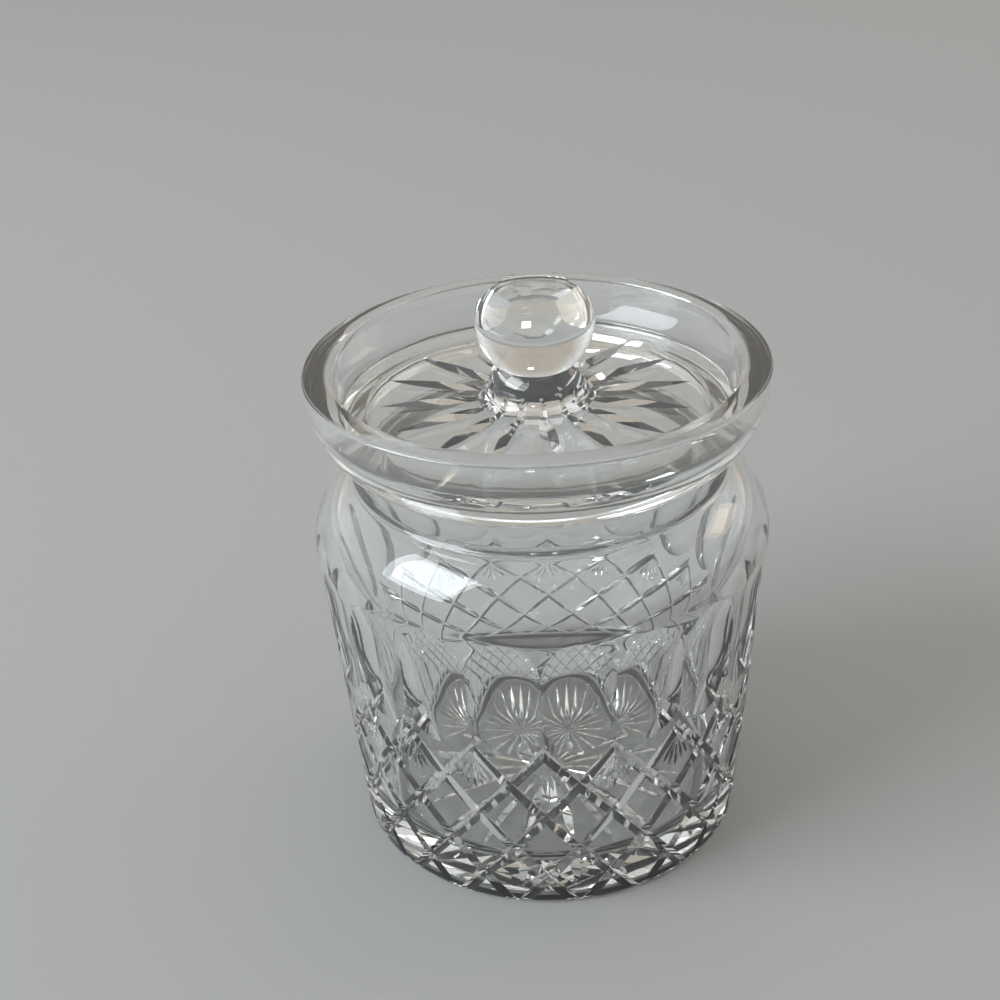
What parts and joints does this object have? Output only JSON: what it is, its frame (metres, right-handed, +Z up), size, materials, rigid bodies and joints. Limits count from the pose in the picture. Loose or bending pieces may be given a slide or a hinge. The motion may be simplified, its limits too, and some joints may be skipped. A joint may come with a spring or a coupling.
{
  "type": "biscuit barrel",
  "caption": "Cut crystal biscuit barrel with oval thumbprints, diamond mitre cuts and a flared collar, and a loose star-cut lid with a faceted ball knob.",
  "frame": {"origin": "centre of the base on the table", "axes": "+Z up along the axis of the jar and of the lid's knob, -Y towards the side shown in front, where two ovals meet"},
  "size_m": [0.1279, 0.1279, 0.163],
  "materials": {
    "crystal_body": "clear lead crystal, hand cut and polished",
    "crystal_lid": "clear lead crystal, hand cut and polished"
  },
  "bodies": {
    "barrel": {"barrel_body": "crystal_body"},
    "lid": {"lid_plate": "crystal_lid", "lid_knob": "crystal_lid"}
  },
  "joints": [
    {"name": "lid_lift", "type": "slide", "parent": "barrel", "child": "lid", "axis": [0, 0, 1], "range_m": [0, 0.03]}
  ]
}
